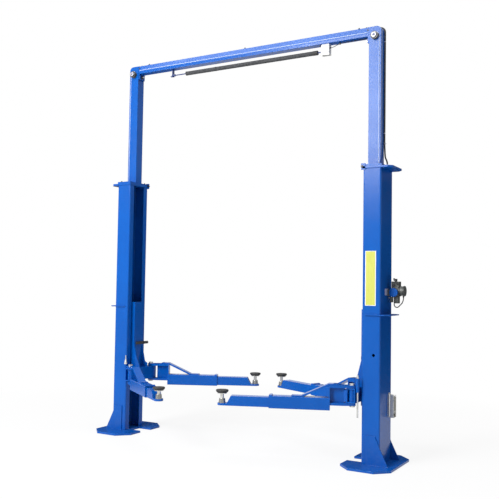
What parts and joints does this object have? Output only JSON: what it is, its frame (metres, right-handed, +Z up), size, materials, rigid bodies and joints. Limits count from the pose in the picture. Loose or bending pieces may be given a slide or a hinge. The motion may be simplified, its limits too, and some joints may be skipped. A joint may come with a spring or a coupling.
{
  "type": "two post car lift",
  "caption": "Two post car lift: tall columns with a padded limit bar under an overhead beam, sliding carriages and telescopic swing arms with round rubber pads.",
  "frame": {"origin": "middle between the two columns at floor level", "axes": "+X along the overhead beam towards the column with the valve unit, +Y across the bay, towards the column's far side as pictured, +Z up"},
  "size_m": [3.4903, 1.6976, 4.2166],
  "materials": {
    "blue_paint": "satin",
    "dark_blue_paint": "satin",
    "zinc": "satin",
    "rubber": "matte",
    "foam": "matte",
    "white_plastic": "matte",
    "grey_casting": "matte"
  },
  "bodies": {
    "structure": {"accessory_holder": "zinc", "base_plate_left": "blue_paint", "base_plate_right": "blue_paint", "beam_hose": "rubber", "column_left": "blue_paint", "column_right": "blue_paint", "extension_left": "blue_paint", "extension_right": "blue_paint", "lift_cylinder_left": "dark_blue_paint", "lift_cylinder_right": "dark_blue_paint", "limit_bar_hanger": "dark_blue_paint", "limit_switch_box": "white_plastic", "mid_plate_left": "blue_paint", "mid_plate_right": "blue_paint", "overhead_beam": "blue_paint", "pulley_pin_left": "zinc", "pulley_pin_right": "zinc", "top_plate_left": "blue_paint", "top_plate_right": "blue_paint", "valve_casting": "grey_casting", "valve_cover": "blue_paint", "valve_drum": "grey_casting", "valve_hose": "rubber"},
    "left_carriage": {"carriage_left": "blue_paint", "door_bumper_left": "rubber", "pivot_pin_left_front": "zinc", "pivot_pin_left_rear": "zinc"},
    "right_carriage": {"cable_stud": "zinc", "carriage_right": "blue_paint", "door_bumper_right": "rubber", "pivot_pin_right_front": "zinc", "pivot_pin_right_rear": "zinc"},
    "right_front_arm": {"arm_right_front": "blue_paint"},
    "right_front_extension": {"arm_extension_right_front": "blue_paint"},
    "right_front_pad": {"pad_screw_right_front": "zinc", "rubber_pad_right_front": "rubber"},
    "right_rear_arm": {"arm_right_rear": "blue_paint"},
    "right_rear_extension": {"arm_extension_right_rear": "blue_paint"},
    "right_rear_pad": {"pad_screw_right_rear": "zinc", "rubber_pad_right_rear": "rubber"},
    "left_front_arm": {"arm_left_front": "blue_paint"},
    "left_front_extension": {"arm_extension_left_front": "blue_paint"},
    "left_front_pad": {"pad_screw_left_front": "zinc", "rubber_pad_left_front": "rubber"},
    "left_rear_arm": {"arm_left_rear": "blue_paint"},
    "left_rear_extension": {"arm_extension_left_rear": "blue_paint"},
    "left_rear_pad": {"pad_screw_left_rear": "zinc", "rubber_pad_left_rear": "rubber"},
    "limit_bar_body": {"limit_bar": "zinc", "limit_bar_padding": "foam"},
    "left_pulley": {"pulley_left": "grey_casting"},
    "right_pulley": {"pulley_right": "grey_casting"}
  },
  "joints": [
    {"name": "left_carriage_lift", "type": "slide", "parent": "structure", "child": "left_carriage", "axis": [0, 0, 1], "range_m": [-0.4, 1.28]},
    {"name": "right_carriage_lift", "type": "slide", "parent": "structure", "child": "right_carriage", "axis": [0, 0, 1], "range_m": [-0.4, 1.28]},
    {"name": "right_front_swing", "type": "hinge", "parent": "right_carriage", "child": "right_front_arm", "pos_m": [1.328, -0.187, 0.65], "axis": [0, 0, 1], "range_deg": [-21.9, 63]},
    {"name": "right_front_slide", "type": "slide", "parent": "right_front_arm", "child": "right_front_extension", "axis": [-0.9278, -0.373, 0], "range_m": [-0.321, 0.139]},
    {"name": "right_front_pad_screw", "type": "slide", "parent": "right_front_extension", "child": "right_front_pad", "axis": [0, 0, 1], "range_m": [-0.04, 0.035]},
    {"name": "right_rear_swing", "type": "hinge", "parent": "right_carriage", "child": "right_rear_arm", "pos_m": [1.328, 0.187, 0.65], "axis": [0, 0, -1], "range_deg": [-25, 60]},
    {"name": "right_rear_slide", "type": "slide", "parent": "right_rear_arm", "child": "right_rear_extension", "axis": [-0.9063, 0.4226, 0], "range_m": [-0.45, 0.01]},
    {"name": "right_rear_pad_screw", "type": "slide", "parent": "right_rear_extension", "child": "right_rear_pad", "axis": [0, 0, 1], "range_m": [-0.05, 0.025]},
    {"name": "left_front_swing", "type": "hinge", "parent": "left_carriage", "child": "left_front_arm", "pos_m": [-1.328, -0.187, 0.65], "axis": [0, 0, -1], "range_deg": [-35.7, 50]},
    {"name": "left_front_slide", "type": "slide", "parent": "left_front_arm", "child": "left_front_extension", "axis": [0.8121, -0.5835, 0], "range_m": [-0.147, 0.313]},
    {"name": "left_front_pad_screw", "type": "slide", "parent": "left_front_extension", "child": "left_front_pad", "axis": [0, 0, 1], "range_m": [-0.03, 0.045]},
    {"name": "left_rear_swing", "type": "hinge", "parent": "left_carriage", "child": "left_rear_arm", "pos_m": [-1.328, 0.187, 0.65], "axis": [0, 0, 1], "range_deg": [-25.6, 60]},
    {"name": "left_rear_slide", "type": "slide", "parent": "left_rear_arm", "child": "left_rear_extension", "axis": [0.9018, 0.4321, 0], "range_m": [-0.301, 0.159]},
    {"name": "left_rear_pad_screw", "type": "slide", "parent": "left_rear_extension", "child": "left_rear_pad", "axis": [0, 0, 1], "range_m": [-0.04, 0.035]},
    {"name": "limit_bar_swing", "type": "hinge", "parent": "structure", "child": "limit_bar_body", "pos_m": [-0.955, 0, 4.043], "axis": [0, -1, 0], "range_deg": [0, 0.8]},
    {"name": "left_pulley_turn", "type": "hinge", "parent": "structure", "child": "left_pulley", "pos_m": [-1.479, -0.068, 4.106], "axis": [0, 1, 0], "continuous": true},
    {"name": "right_pulley_turn", "type": "hinge", "parent": "structure", "child": "right_pulley", "pos_m": [1.479, -0.068, 4.106], "axis": [0, 1, 0], "continuous": true}
  ],
  "couplings": [
    {"joint": "right_carriage_lift", "follows": "left_carriage_lift", "ratio": 1}
  ]
}
